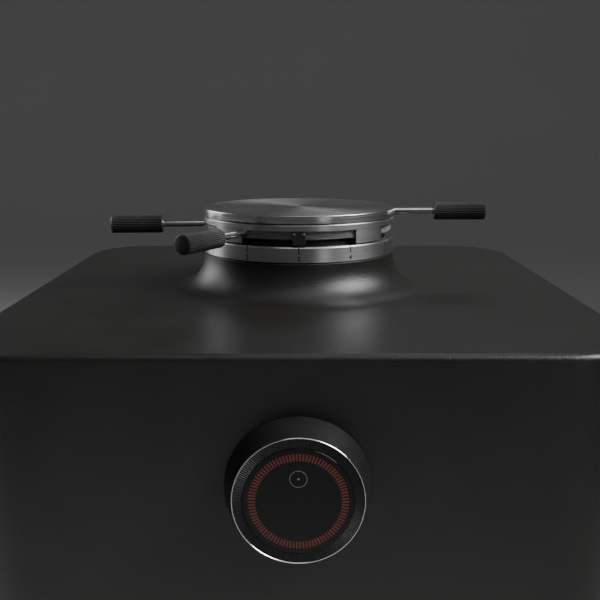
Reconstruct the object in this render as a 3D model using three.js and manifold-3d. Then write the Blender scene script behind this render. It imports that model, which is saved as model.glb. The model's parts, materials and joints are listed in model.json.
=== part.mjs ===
// A burr coffee grinder, modelled in millimetres with +Z up.
// The origin is on the counter, under the middle of the whole machine. The front faces -Y.
// A square cast housing carries a flared neck. On the neck sit a fixed scale ring, an adjusting wheel
// with two levers, and a lid with one lever. A control dial with a push display is on the front.
// Beans fall through the neck between two flat burrs, and the grounds leave by a chute and a spout
// into a cup that stands on the base.
import * as THREE from "three";
import { mergeVertices } from "three/addons/utils/BufferGeometryUtils.js";
import Module from "manifold-3d";

const wasm = await Module();
wasm.setup();

// ---------------------------------------------------------------- driving dimensions
const GAP = 0.3; // between pieces that touch
const RING_R = 44; // scale ring, adjusting wheel and lid
const WIDTH = 243; // plan of the housing and the base
const DEPTH = 255;
const SIDE_X = WIDTH / 2;
const HALF = DEPTH / 2; // from the burr axis to the front face, and to the back
const CORNER_R = 32; // vertical corners of the housing
const TOP_EDGE_R = 2.5;
const WALL = 3;
const TOP_Z = 280; // flat top of the housing
const HEAD_Z = 165; // underside of the head
const COLUMN_Y = -55; // front face of the column, behind the cup
const FOOT_H = 5;
const BASE_TOP_Z = 18;
const DIAL_Z = TOP_Z - 45.7; // axis of the control dial
const DIAL_PROUD = 12; // how far the dial stands out of the front face
const SPOUT_Y = -90; // axis of the spout and of the cup

// The burr axis passes through the middle of the housing's plan. The dial stands out at the front only,
// so the burr axis is moved back by half of that to put the origin under the middle of the whole.
const AXIS_Y = DIAL_PROUD / 2;

// Heights on the neck, counted from the flat top of the housing
const FLARE_R = 15;
const NECK_TOP = 16.3;
const SCALE_BOTTOM = NECK_TOP + GAP;
const SCALE_TOP = 23.3;
const LUG_BOTTOM = 24;
const WHEEL_BOTTOM = 26.4;
const FLANGE_BOTTOM = 29.9; // the wheel's full-width flange, above its narrower threaded band
const WHEEL_TOP = 32.6;
const LID_BOTTOM = WHEEL_TOP + GAP;
const LID_TOP = 36.5;

// Radii of the nested sleeves inside the neck, from the inside out
const CARRIER_R = 32.7;
const SLEEVE_R = 35.9;
const COLLAR_R = 39.3;
const BAND_R = 42.6;
const WHEEL_BORE_R = 30.5;
const NECK_BORE_R = COLLAR_R + GAP;

// Levers
const LEVER_TIP_R = 86.5;
const GRIP_LENGTH = 23.5;
const GRIP_R = 4;
const ROD_R = 1.4;
const STUD_R = 0.8;
const STUD_DEPTH = 6;

const DIAL_SEAT_R = 19.8; // tube that the dial turns round

// Burr set and motor
const BURR_R = 32;
const BURR_GAP = 0.5;
const LOWER_BURR_TOP = 228;
const CHAMBER_R = 46;
const CHAMBER_BORE_R = 37.5;
const CHAMBER_FLOOR_Z = 212;
const CHAMBER_BOTTOM_Z = 206;
const CHAMBER_TOP_Z = 255.7;
const SHAFT_R = 6;
const MOTOR_R = 45;
const MOTOR_TOP_Z = 198.7;
const MOTOR_BOTTOM_Z = 112;

// Cup
const CUP_R = 29;
const CUP_H = 75;
const CUP_WALL = 1.5;
const MAT_TOP_Z = BASE_TOP_Z + GAP + 1.7;

// Segments of a full turn
const FINE = 36;
const MEDIUM = 24;
const COARSE = 12;

// ---------------------------------------------------------------- materials
const paint = (color, roughness, metalness) =>
  new THREE.MeshStandardMaterial({ color, roughness, metalness });
const BLACK_CAST = paint(0x1c1b1a, 0.55, 0.2);
const BLACK_ANODISED = paint(0x18181a, 0.4, 0.6);
const SATIN_ALUMINIUM = paint(0xb9b9bb, 0.35, 1);
const POLISHED_STEEL = paint(0xd8d8da, 0.15, 1);
const BURR_STEEL = paint(0x9a9a9e, 0.3, 1);
const BLACK_PLASTIC = paint(0x141414, 0.6, 0);
const BLACK_GLASS = paint(0x08090a, 0.08, 0);
const RUBBER = paint(0x1a1a1a, 0.9, 0);
const CIRCUIT_GREEN = paint(0x1d4a33, 0.5, 0);
const COPPER = paint(0x9c5a34, 0.4, 0.9);
const CAST_GREY = paint(0x77787a, 0.55, 0.8);

// ---------------------------------------------------------------- solids
// A closed three.js geometry as a solid, with its faces turned to point out.
function solidOf(geometry) {
  const bare = new THREE.BufferGeometry();
  bare.setAttribute("position", geometry.getAttribute("position"));
  bare.setIndex(geometry.index);
  const merged = mergeVertices(bare, 1e-4);
  const vertProperties = new Float32Array(merged.attributes.position.array);
  const build = (triVerts) => new wasm.Manifold(new wasm.Mesh({ numProp: 3, vertProperties, triVerts }));
  const triVerts = new Uint32Array(merged.index.array);
  const made = build(triVerts);
  return made.volume() > 0 ? made : build(triVerts.reverse());
}

// A profile of [radius, z] points turned about Z. It starts and ends on the axis, or is closed here.
function turned(profile, segments = MEDIUM) {
  const onAxis = profile[0][0] === 0 && profile.at(-1)[0] === 0;
  const points = onAxis ? profile : [...profile, profile[0]];
  const outline = points.map(([r, z]) => new THREE.Vector2(r, z));
  return solidOf(new THREE.LatheGeometry(outline, segments).rotateX(Math.PI / 2));
}

const disc = (r, z0, z1, segments) => turned([[0, z0], [r, z0], [r, z1], [0, z1]], segments);
const ring = (r0, r1, z0, z1, segments) => turned([[r0, z0], [r1, z0], [r1, z1], [r0, z1]], segments);
const at = (solid, x, y, z) => solid.translate([x, y, z]);

// A box from its lowest corner to its highest.
function block([x0, y0, z0], [x1, y1, z1]) {
  const box = new THREE.BoxGeometry(x1 - x0, y1 - y0, z1 - z0);
  return at(solidOf(box), (x0 + x1) / 2, (y0 + y1) / 2, (z0 + z1) / 2);
}

// A rectangle in plan with one corner radius at the front (low y) and one at the back.
function roundedPlan(x0, x1, y0, y1, frontR, backR) {
  const plan = new THREE.Shape();
  plan.moveTo(x0 + frontR, y0);
  plan.lineTo(x1 - frontR, y0);
  plan.absarc(x1 - frontR, y0 + frontR, frontR, -Math.PI / 2, 0);
  plan.lineTo(x1, y1 - backR);
  plan.absarc(x1 - backR, y1 - backR, backR, 0, Math.PI / 2);
  plan.lineTo(x0 + backR, y1);
  plan.absarc(x0 + backR, y1 - backR, backR, Math.PI / 2, Math.PI);
  plan.lineTo(x0, y0 + frontR);
  plan.absarc(x0 + frontR, y0 + frontR, frontR, Math.PI, Math.PI * 1.5);
  return plan;
}

// A plan extruded from z0 to z1, with its top and bottom edges rounded by bevel.
function extruded(plan, z0, z1, bevel = 0, curveSegments = 5) {
  const geometry = new THREE.ExtrudeGeometry(plan, {
    depth: z1 - z0 - 2 * bevel,
    bevelEnabled: bevel > 0,
    bevelSize: bevel,
    bevelOffset: -bevel,
    bevelThickness: bevel,
    bevelSegments: 2,
    curveSegments,
  });
  return at(solidOf(geometry), 0, 0, z0 + bevel);
}

// A closed outline of [y, z] points in the side view, extruded across X.
function sideProfile(points, x0, x1) {
  const outline = new THREE.Shape(points.map(([y, z]) => new THREE.Vector2(y, z)));
  const geometry = new THREE.ExtrudeGeometry(outline, { depth: x1 - x0, bevelEnabled: false });
  const yToYzToZ = new THREE.Matrix4().makeBasis(
    new THREE.Vector3(0, 1, 0),
    new THREE.Vector3(0, 0, 1),
    new THREE.Vector3(1, 0, 0),
  );
  return at(solidOf(geometry.applyMatrix4(yToYzToZ)), x0, 0, 0);
}

const evenPlan = (halfX, halfY, r) => roundedPlan(-halfX, halfX, -halfY, halfY, r, r);

// A solid turned about Z, laid along +X: its z becomes x.
const alongX = (solid) => solid.rotate([0, 90, 0]);
// A solid turned about Z, laid along -Y: its z becomes distance in front of the burr axis.
const towardsFront = (solid) => solid.rotate([90, 0, 0]);

const grinder = new THREE.Group();
const machine = new THREE.Group(); // everything, placed from the burr axis
machine.position.y = AXIS_Y;
grinder.add(machine);

function add(name, solid, material, parent = machine) {
  const { numProp, numVert, vertProperties, triVerts } = solid.getMesh();
  const position = new Float32Array(numVert * 3);
  for (let i = 0; i < numVert; i++) {
    position.set(vertProperties.subarray(i * numProp, i * numProp + 3), i * 3);
  }
  const geometry = new THREE.BufferGeometry();
  geometry.setAttribute("position", new THREE.BufferAttribute(position, 3));
  geometry.setIndex(new THREE.BufferAttribute(new Uint32Array(triVerts), 1));
  geometry.computeVertexNormals();
  const mesh = new THREE.Mesh(geometry, material.clone());
  mesh.name = name;
  parent.add(mesh);
  return mesh;
}

// ---------------------------------------------------------------- housing and base
const REAR_OPENING = { halfWidth: 75, low: 50, high: 200 };

function neckSolid() {
  const base = RING_R + FLARE_R;
  const flare = [];
  const steps = 5;
  for (let i = 0; i <= steps; i++) {
    const a = ((i / steps) * Math.PI) / 2;
    flare.push([base - FLARE_R * Math.sin(a), TOP_Z + FLARE_R * (1 - Math.cos(a))]);
  }
  const bottom = TOP_Z - WALL;
  const top = TOP_Z + NECK_TOP;
  return turned([[0, bottom], [base, bottom], ...flare, [RING_R, top], [0, top]], FINE);
}

// Tabs inside the rear opening, where the cover's screws go in.
function coverTabs() {
  const places = screwPlaces();
  const tabs = places.map(([x, z]) => {
    const edge = Math.sign(x) * (REAR_OPENING.halfWidth + 8);
    const inner = x - Math.sign(x) * 6;
    return block([Math.min(inner, edge), HALF - 12, z - 6], [Math.max(inner, edge), HALF - 1, z + 6]);
  });
  return wasm.Manifold.union(tabs);
}

const COLUMN_FRONT_R = 22;
const INNER_X = SIDE_X - WALL;
const INNER_Y = HALF - WALL;

function housingShell() {
  const bottom = BASE_TOP_Z + GAP;
  const roomR = CORNER_R - WALL;
  const columnPlan = roundedPlan(-SIDE_X, SIDE_X, COLUMN_Y, HALF, COLUMN_FRONT_R, CORNER_R);
  const frontR = COLUMN_FRONT_R - WALL;
  const columnRoomPlan = roundedPlan(-INNER_X, INNER_X, COLUMN_Y + WALL, INNER_Y, frontR, roomR);
  const { halfWidth, low, high } = REAR_OPENING;
  let shell = extruded(evenPlan(SIDE_X, HALF, CORNER_R), HEAD_Z, TOP_Z, TOP_EDGE_R)
    .subtract(extruded(evenPlan(INNER_X, INNER_Y, roomR), HEAD_Z - 1, TOP_Z - WALL))
    .add(neckSolid())
    .add(extruded(columnPlan, bottom, HEAD_Z + WALL))
    .subtract(extruded(columnRoomPlan, bottom - 10, HEAD_Z + 2 * WALL))
    .add(coverTabs())
    .subtract(disc(NECK_BORE_R, TOP_Z - 10, TOP_Z + 30, FINE))
    .subtract(at(towardsFront(disc(DIAL_SEAT_R + GAP, HALF - 10, HALF + 10, MEDIUM)), 0, 0, DIAL_Z))
    .subtract(block([-halfWidth, HALF - WALL - GAP, low], [halfWidth, HALF + 10, high]));
  for (const [x, z] of screwPlaces()) shell = shell.subtract(rearBore(1.8, HALF - 13, HALF, x, z));
  return shell;
}

// The plate that closes the overhanging part of the head from below.
function headFloor() {
  const x = INNER_X - GAP;
  const frontR = CORNER_R - WALL - GAP;
  const plan = roundedPlan(-x, x, -INNER_Y + GAP, COLUMN_Y + COLUMN_FRONT_R, frontR, 0.5);
  const column = roundedPlan(-SIDE_X - GAP, SIDE_X + GAP, COLUMN_Y - GAP, HALF, COLUMN_FRONT_R + GAP, 5);
  return extruded(plan, HEAD_Z, HEAD_Z + WALL)
    .subtract(extruded(column, HEAD_Z - 1, HEAD_Z + 2 * WALL))
    .subtract(at(disc(17, HEAD_Z - 1, HEAD_Z + 10, MEDIUM), 0, SPOUT_Y, 0));
}

const basePlate = () => extruded(evenPlan(SIDE_X, HALF, CORNER_R), FOOT_H, BASE_TOP_Z, 2);

function addFeet() {
  const fromAxis = 98;
  const foot = turned([[0, 0], [10.5, 0], [11.5, 1], [11.5, FOOT_H - GAP], [0, FOOT_H - GAP]], COARSE);
  for (const [end, y] of [["front", -fromAxis], ["rear", fromAxis]]) {
    for (const [side, x] of [["left", -fromAxis], ["right", fromAxis]]) {
      add(`foot_${end}_${side}`, at(foot, x, y, 0), RUBBER);
    }
  }
}

// ---------------------------------------------------------------- rear cover, inlet and switch
const INLET = { x: -24, z: 76, w: 28, h: 20 };
const SWITCH = { x: 24, z: 76, w: 22, h: 14 };
const COVER_FRONT_Y = HALF - WALL;
const SCREW_HEAD_H = 1.4;
const frameHole = ({ x, z, w, h }, grow, y0, y1) =>
  block([x - w / 2 - grow, y0, z - h / 2 - grow], [x + w / 2 + grow, y1, z + h / 2 + grow]);

const rearBore = (r, y0, y1, x, z) => at(disc(r, y0, y1, 8).rotate([-90, 0, 0]), x, 0, z);

function rearCover() {
  const { halfWidth, low, high } = REAR_OPENING;
  let cover = block([-halfWidth + GAP, COVER_FRONT_Y, low + GAP], [halfWidth - GAP, HALF, high - GAP]);
  const slots = 8;
  for (let i = 0; i < slots; i++) {
    const z = 120 + i * 8;
    cover = cover.subtract(block([-45, COVER_FRONT_Y - 1, z], [45, HALF + 1, z + 3]));
  }
  for (const [x, z] of screwPlaces()) {
    cover = cover.subtract(rearBore(1.8, COVER_FRONT_Y - 1, HALF + 1, x, z));
    cover = cover.subtract(rearBore(3.3, HALF - SCREW_HEAD_H - 2 * GAP, HALF + 1, x, z));
  }
  return cover
    .subtract(frameHole(INLET, GAP, COVER_FRONT_Y - 1, HALF + 1))
    .subtract(frameHole(SWITCH, GAP, COVER_FRONT_Y - 1, HALF + 1));
}

function screwPlaces() {
  const { halfWidth, low, high } = REAR_OPENING;
  const inset = 7;
  const x = halfWidth - inset;
  return [[-x, low + inset], [x, low + inset], [-x, high - inset], [x, high - inset]];
}

// The screw heads lie in counterbores, flush with the cover.
function addRearScrews() {
  const h = SCREW_HEAD_H;
  const screw = turned([[0, -9], [1.5, -9], [1.5, 0], [3, 0], [3, h - 0.4], [2.6, h], [0, h]], 8);
  screwPlaces().forEach(([x, z], i) => {
    add(`rear_screw_${i + 1}`, at(screw.rotate([-90, 0, 0]), x, HALF - h - GAP, z), POLISHED_STEEL);
  });
}

function powerInlet() {
  const depth = 24;
  const body = frameHole(INLET, 0, HALF - depth, HALF - 0.2);
  const mouth = frameHole({ ...INLET, w: INLET.w - 5, h: INLET.h - 5 }, 0, HALF - 17, HALF + 1);
  let inlet = body.subtract(mouth);
  for (const [dx, dz] of [[-6, -1.5], [0, 2], [6, -1.5]]) {
    const x = INLET.x + dx;
    const z = INLET.z + dz;
    inlet = inlet.add(block([x - 1, HALF - 18, z - 2], [x + 1, HALF - 8, z + 2]));
  }
  return inlet;
}

function switchFrame() {
  const { x, z, w, h } = SWITCH;
  const inX = w / 2 - 1.5;
  const inZ = h / 2 - 1.5;
  const room = block([x - inX, HALF - 12, z - inZ], [x + inX, HALF + 1, z + inZ]);
  return frameHole(SWITCH, 0, HALF - 16, HALF - 0.2).subtract(room);
}

// A rocker that tips about a pivot along Z. It is wide across X, and one end stands out.
const ROCKER = { halfW: 8.8, halfH: 5, pivotBack: 6 };
function powerRocker() {
  const { halfW, halfH, pivotBack } = ROCKER;
  const outline = new THREE.Shape();
  outline.moveTo(-halfW, 2);
  outline.lineTo(-halfW, 4);
  outline.lineTo(0, 5);
  outline.lineTo(halfW, 4);
  outline.lineTo(halfW, 2);
  outline.lineTo(2, -3);
  outline.lineTo(-2, -3);
  outline.closePath();
  const tip = 9;
  return at(extruded(outline, -halfH, halfH).rotate([0, 0, tip]), SWITCH.x, HALF - pivotBack, SWITCH.z);
}

// ---------------------------------------------------------------- neck: scale ring, collar, wheel and lid
// The wheel has a flange, a narrower band under it, and a sleeve that is threaded on the burr carrier.
// Four lugs stand down from the flange and leave windows between them.
function wheelBody() {
  const sleeveBottom = TOP_Z - 18;
  const edge = 0.4;
  let wheel = turned(
    [
      [CARRIER_R + GAP, sleeveBottom],
      [SLEEVE_R, sleeveBottom],
      [SLEEVE_R, TOP_Z + WHEEL_BOTTOM],
      [BAND_R, TOP_Z + WHEEL_BOTTOM],
      [BAND_R, TOP_Z + FLANGE_BOTTOM],
      [RING_R, TOP_Z + FLANGE_BOTTOM],
      [RING_R, TOP_Z + WHEEL_TOP - edge],
      [RING_R - edge, TOP_Z + WHEEL_TOP],
      [WHEEL_BORE_R, TOP_Z + WHEEL_TOP],
      [WHEEL_BORE_R, TOP_Z + WHEEL_BOTTOM],
      [CARRIER_R + GAP, TOP_Z + WHEEL_BOTTOM - 2.5],
    ],
    FINE,
  );
  const lug = arcBlock(40.6, RING_R - 0.1, 22, TOP_Z + LUG_BOTTOM, TOP_Z + FLANGE_BOTTOM + 1);
  for (const angle of [45, 135, 225, 315]) wheel = wheel.add(lug.rotate([0, 0, angle]));
  return wheel;
}

// A curved block about Z, centred on +X, over an arc in degrees.
function arcBlock(r0, r1, arc, z0, z1) {
  const half = THREE.MathUtils.degToRad(arc / 2);
  const plan = new THREE.Shape();
  plan.absarc(0, 0, r1, -half, half);
  plan.absarc(0, 0, r0, half, -half, true);
  plan.closePath();
  return extruded(plan, z0, z1, 0, 4);
}

function studHole(z) {
  return at(alongX(disc(STUD_R + GAP, RING_R - STUD_DEPTH - GAP, RING_R + 5, COARSE)), 0, 0, z);
}

// The collar guides the wheel's sleeve inside the neck. Its flange is bolted on the chamber.
function neckCollar() {
  const inner = SLEEVE_R + GAP;
  const flangeZ = CHAMBER_TOP_Z + GAP;
  const top = TOP_Z + WHEEL_BOTTOM - 1;
  return turned(
    [
      [inner, flangeZ],
      [CHAMBER_R, flangeZ],
      [CHAMBER_R, flangeZ + 6],
      [COLLAR_R, flangeZ + 6],
      [COLLAR_R, top - 0.8],
      [COLLAR_R - 0.8, top],
      [inner, top],
    ],
    FINE,
  );
}

function scaleRing() {
  const chamfer = 0.5;
  return turned(
    [
      [NECK_BORE_R + 0.4, TOP_Z + SCALE_BOTTOM],
      [RING_R, TOP_Z + SCALE_BOTTOM],
      [RING_R, TOP_Z + SCALE_TOP - chamfer],
      [RING_R - chamfer, TOP_Z + SCALE_TOP],
      [NECK_BORE_R + 0.4, TOP_Z + SCALE_TOP],
    ],
    FINE,
  );
}

// A lever along +X: a rod with a thin stud that enters the rim, and a grip bored over its outer end.
function addLever(name, angle, z) {
  const lever = new THREE.Group();
  lever.position.z = z;
  lever.rotation.z = THREE.MathUtils.degToRad(angle);
  machine.add(lever);
  const gripStart = LEVER_TIP_R - GRIP_LENGTH;
  const rodEnd = LEVER_TIP_R - 6;
  const rod = [
    [0, RING_R - STUD_DEPTH],
    [STUD_R, RING_R - STUD_DEPTH],
    [STUD_R, RING_R + GAP],
    [ROD_R, RING_R + GAP],
    [ROD_R, rodEnd],
    [0, rodEnd],
  ];
  add(`${name}_rod`, alongX(turned(rod, 8)), POLISHED_STEEL, lever);
  const bevel = 0.6;
  const grip = [
    [0, gripStart],
    [GRIP_R - bevel, gripStart],
    [GRIP_R, gripStart + bevel],
    [GRIP_R, LEVER_TIP_R - bevel],
    [GRIP_R - bevel, LEVER_TIP_R],
    [0, LEVER_TIP_R],
  ];
  const bore = disc(ROD_R + GAP, gripStart - 1, rodEnd + GAP, 8);
  add(`${name}_grip`, alongX(turned(grip, 16).subtract(bore)), BLACK_ANODISED, lever);
}

function indexPointer() {
  const width = 5.6;
  const front = RING_R - 0.1;
  const top = TOP_Z + FLANGE_BOTTOM - GAP;
  return block([-width / 2, -front, TOP_Z + LUG_BOTTOM], [width / 2, -BAND_R - GAP, top]);
}

const LID_PLUG = { r: 28, bottom: 24 };
function lidPlug() {
  const { r, bottom } = LID_PLUG;
  const top = WHEEL_TOP;
  const plug = turned(
    [
      [3.1, TOP_Z + bottom],
      [r - 3, TOP_Z + bottom],
      [r, TOP_Z + bottom + 3],
      [r, TOP_Z + top],
      [3.1, TOP_Z + top],
    ],
    MEDIUM,
  );
  return plug.subtract(disc(6, TOP_Z + bottom - 1, TOP_Z + bottom + 3));
}

const lidGasket = () => ring(LID_PLUG.r + GAP, WHEEL_BORE_R - GAP, TOP_Z + 28.6, TOP_Z + WHEEL_TOP - 0.6);

function lidDisc() {
  const edge = 0.5;
  const z0 = TOP_Z + LID_BOTTOM;
  const z1 = TOP_Z + LID_TOP;
  const outline = [
    [0, z0],
    [RING_R - edge, z0],
    [RING_R, z0 + edge],
    [RING_R, z1 - edge],
    [RING_R - edge, z1],
    [0, z1],
  ];
  return turned(outline, FINE).subtract(disc(2.2, z0 - 1, z0 + 2.2, COARSE));
}

// The lid turns on this shoulder screw, which comes up through the plug.
function lidPivotScrew() {
  const head = TOP_Z + LID_PLUG.bottom;
  return turned(
    [
      [0, head + 0.2],
      [5, head + 0.2],
      [5, head + 2.5],
      [2.8, head + 2.5],
      [2.8, TOP_Z + WHEEL_TOP],
      [1.9, TOP_Z + WHEEL_TOP],
      [1.9, TOP_Z + LID_BOTTOM + 1.9],
      [0, TOP_Z + LID_BOTTOM + 1.9],
    ],
    COARSE,
  );
}

// ---------------------------------------------------------------- burrs, chamber and motor
const UPPER_BURR_BOTTOM = LOWER_BURR_TOP + BURR_GAP;
const BURR_H = 8;
const CARRIER_DISC_Z = UPPER_BURR_BOTTOM + BURR_H + GAP;
const PIN_Z = 250;

// A flat burr: a ring whose cutting face is cut by radial grooves.
function burr(innerR, z0, z1, cutsUp) {
  let made = ring(innerR, BURR_R, z0, z1);
  const grooves = 12;
  const face = cutsUp ? z1 : z0;
  for (let i = 0; i < grooves; i++) {
    const groove = block([innerR - 2, -0.9, face - 1.6], [BURR_R - 3, 0.9, face + 1.6]);
    made = made.subtract(groove.rotate([0, 0, (i * 360) / grooves]));
  }
  return made;
}

function upperBurrCarrier() {
  const bore = 29;
  const tubeTop = TOP_Z + 20;
  const carrier = turned([
    [16, CARRIER_DISC_Z],
    [CARRIER_R, CARRIER_DISC_Z],
    [CARRIER_R, tubeTop],
    [bore, tubeTop],
    [bore, CARRIER_DISC_Z + 8],
    [16, CARRIER_DISC_Z + 8],
  ]);
  const keyway = block([30.7, -2.4, PIN_Z - 5], [40, 2.4, PIN_Z + 6]);
  return carrier.subtract(keyway).subtract(keyway.rotate([0, 0, 180]));
}

function feedFunnel() {
  const top = TOP_Z + 15;
  const bottom = CARRIER_DISC_Z + 8 + GAP;
  return turned([
    [15, bottom],
    [16.5, bottom],
    [28.7, top - 6],
    [28.7, top],
    [27.2, top],
    [27.2, top - 5.5],
  ]);
}

function lowerBurrCarrier() {
  const bottom = CHAMBER_FLOOR_Z + 1.5;
  const seat = LOWER_BURR_TOP - BURR_H - GAP;
  const hub = 12.7;
  let carrier = turned([
    [SHAFT_R + GAP, bottom],
    [34, bottom],
    [34, seat],
    [hub, seat],
    [hub, LOWER_BURR_TOP - 2],
    [SHAFT_R + GAP, LOWER_BURR_TOP - 2],
  ]);
  for (let i = 0; i < 3; i++) {
    const sweeper = block([32, -1.5, bottom], [CHAMBER_BORE_R - 0.8, 1.5, seat + 3]).subtract(
      disc(BURR_R + 1, seat, seat + 10, MEDIUM),
    );
    carrier = carrier.add(sweeper.rotate([0, 0, 30 + i * 120]));
  }
  return carrier;
}

function mainShaft() {
  const top = LOWER_BURR_TOP + 5;
  const step = LOWER_BURR_TOP - 3;
  const bottom = MOTOR_BOTTOM_Z + 1;
  return turned([[0, bottom], [SHAFT_R, bottom], [SHAFT_R, step], [4, step], [4, top], [0, top]], COARSE);
}

function burrNut() {
  const z0 = LOWER_BURR_TOP - 2 + GAP;
  return turned([[4 + GAP, z0], [10, z0], [10, z0 + 3], [7, z0 + 9], [4 + GAP, z0 + 9]], 16);
}

function grindChamber() {
  const cup = turned(
    [
      [9, CHAMBER_BOTTOM_Z],
      [CHAMBER_R, CHAMBER_BOTTOM_Z],
      [CHAMBER_R, CHAMBER_TOP_Z],
      [CHAMBER_BORE_R, CHAMBER_TOP_Z],
      [CHAMBER_BORE_R, CHAMBER_FLOOR_Z],
      [9, CHAMBER_FLOOR_Z],
    ],
    FINE,
  );
  const port = block([-14, -CHAMBER_R - 5, CHAMBER_FLOOR_Z + 1], [14, -20, CHAMBER_FLOOR_Z + 19]);
  const pinBore = alongX(disc(2 + GAP, -60, 60, COARSE));
  return cup.subtract(port).subtract(at(pinBore, 0, 0, PIN_Z));
}

function addGuidePins() {
  const pin = at(alongX(disc(2, 31.2, CHAMBER_R, 8)), 0, 0, PIN_Z);
  add("guide_pin_right", pin, POLISHED_STEEL);
  add("guide_pin_left", pin.rotate([0, 0, 180]), POLISHED_STEEL);
}

// Outlines of the chute in the side view, from the chamber's port down to the spout.
function chute() {
  const bottom = HEAD_Z + WALL + GAP + 4;
  const frontY = SPOUT_Y - 13.5;
  const backY = SPOUT_Y + 13.5;
  const lowZ = CHAMBER_FLOOR_Z + 1;
  const highZ = CHAMBER_FLOOR_Z + 19;
  const wall = 2.5;
  const outer = [
    [-30, lowZ - wall],
    [-50, lowZ - wall],
    [backY + wall, lowZ - 26],
    [backY + wall, bottom],
    [frontY - wall, bottom],
    [frontY - wall, lowZ - 17],
    [-66, highZ + wall],
    [-30, highZ + wall],
  ];
  const inner = [
    [-20, lowZ],
    [-50, lowZ],
    [backY, lowZ - 25],
    [backY, bottom - 5],
    [frontY, bottom - 5],
    [frontY, lowZ - 16],
    [-65, highZ],
    [-20, highZ],
  ];
  return sideProfile(outer, -16.5, 16.5)
    .subtract(sideProfile(inner, -14, 14))
    .subtract(disc(CHAMBER_R + GAP, CHAMBER_BOTTOM_Z - 5, CHAMBER_TOP_Z, FINE));
}

function spout() {
  const flangeZ = HEAD_Z + WALL + GAP;
  const tip = HEAD_Z - 24;
  const profile = [
    [11, tip],
    [13, tip],
    [16.5, HEAD_Z - 4],
    [16.5, flangeZ],
    [21, flangeZ],
    [21, flangeZ + 3.4],
    [13.5, flangeZ + 3.4],
    [13.5, HEAD_Z - 4],
  ];
  return at(turned(profile, MEDIUM), 0, SPOUT_Y, 0);
}

// The motor plate hangs from the roof of the head on four posts.
function motorPlate() {
  const bottom = MOTOR_TOP_Z + GAP;
  const plate = block([-80, -44, bottom], [80, 70, CHAMBER_BOTTOM_Z - GAP]);
  const post = disc(6, bottom + 1, TOP_Z - WALL - GAP, 12);
  const posts = [[-72, -36], [72, -36], [-72, 62], [72, 62]].map(([x, y]) => at(post, x, y, 0));
  return plate.add(wasm.Manifold.union(posts)).subtract(disc(14, bottom - 5, CHAMBER_BOTTOM_Z + 5));
}

function motorCase() {
  const bearingSeat = 13 + GAP;
  return turned(
    [
      [bearingSeat, MOTOR_TOP_Z - 10],
      [bearingSeat, MOTOR_TOP_Z],
      [MOTOR_R, MOTOR_TOP_Z],
      [MOTOR_R, MOTOR_BOTTOM_Z],
      [MOTOR_R - 3.5, MOTOR_BOTTOM_Z],
      [MOTOR_R - 3.5, MOTOR_TOP_Z - 10],
    ],
    MEDIUM,
  );
}

function motorEndCap() {
  const z1 = MOTOR_BOTTOM_Z - GAP;
  return turned([[0, z1 - 7], [MOTOR_R, z1 - 7], [MOTOR_R, z1], [0, z1]], MEDIUM);
}

function addMotor() {
  const low = MOTOR_BOTTOM_Z + 13;
  const high = MOTOR_TOP_Z - 14;
  add("motor_plate", motorPlate(), CAST_GREY);
  add("motor_case", motorCase(), CAST_GREY);
  add("motor_end_cap", motorEndCap(), CAST_GREY);
  add("motor_stator", ring(29, MOTOR_R - 3.5 - GAP, low, high, MEDIUM), COPPER);
  add("motor_rotor", ring(SHAFT_R + GAP, 28, low, high, MEDIUM), BURR_STEEL);
  add("upper_bearing", ring(SHAFT_R + GAP, 13, MOTOR_TOP_Z - 9, MOTOR_TOP_Z - 1, 16), POLISHED_STEEL);
  add("lower_bearing", ring(SHAFT_R + GAP, 13, MOTOR_BOTTOM_Z, MOTOR_BOTTOM_Z + 8, 16), POLISHED_STEEL);
  add("shaft_seal", ring(SHAFT_R + GAP, 9 - GAP, CHAMBER_BOTTOM_Z, CHAMBER_FLOOR_Z, 16), RUBBER);
}

// ---------------------------------------------------------------- electronics
const FLOOR_Z = BASE_TOP_Z + GAP;

function powerSupply() {
  const [x0, x1, y0, y1] = [-82, -8, -20, 90];
  const box = block([x0, y0, FLOOR_Z], [x1, y1, FLOOR_Z + 44]);
  const terminals = block([x0 + 8, y1 - 14, FLOOR_Z + 43], [x1 - 8, y1 - 4, FLOOR_Z + 52]);
  return box.add(terminals);
}

// A board on four standoffs, with two chokes and two capacitors.
function controllerBoard() {
  const [x0, x1, y0, y1] = [6, 84, -20, 90];
  const boardZ = FLOOR_Z + 12;
  const pieces = [block([x0, y0, boardZ], [x1, y1, boardZ + 1.6])];
  for (const x of [x0 + 6, x1 - 6]) {
    for (const y of [y0 + 6, y1 - 6]) pieces.push(at(disc(3, FLOOR_Z, boardZ + 1, 8), x, y, 0));
  }
  const on = boardZ + 1;
  pieces.push(block([16, 0, on], [36, 28, on + 16]));
  pieces.push(block([48, 4, on], [76, 36, on + 13]));
  pieces.push(at(disc(9, on, on + 30, 12), 28, 56, 0));
  pieces.push(at(disc(9, on, on + 30, 12), 54, 60, 0));
  return wasm.Manifold.union(pieces);
}

// ---------------------------------------------------------------- control dial
// Distances here are measured forwards from the burr axis.
const RIM_FRONT = HALF + DIAL_PROUD;
const RIM_R = 21.9;
const RIM_WIDTH = 0.45;
const GLASS_R = 18;
const GLASS_FRONT = RIM_FRONT - 0.2;
const GLASS_BACK = GLASS_FRONT - 1.5;
const DISPLAY_TRAVEL = 0.8;
const STEM_BACK = HALF - 8;

// The seat is clamped behind the front wall. Its tube carries the knob, which turns round it.
function dialSeat() {
  const bore = 16.4;
  const flangeBack = HALF - 11;
  const flangeFront = HALF - WALL - GAP;
  return turned(
    [
      [bore, flangeBack],
      [27, flangeBack],
      [27, flangeFront],
      [DIAL_SEAT_R, flangeFront],
      [DIAL_SEAT_R, HALF + 6],
      [bore, HALF + 6],
    ],
    MEDIUM,
  );
}

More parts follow.
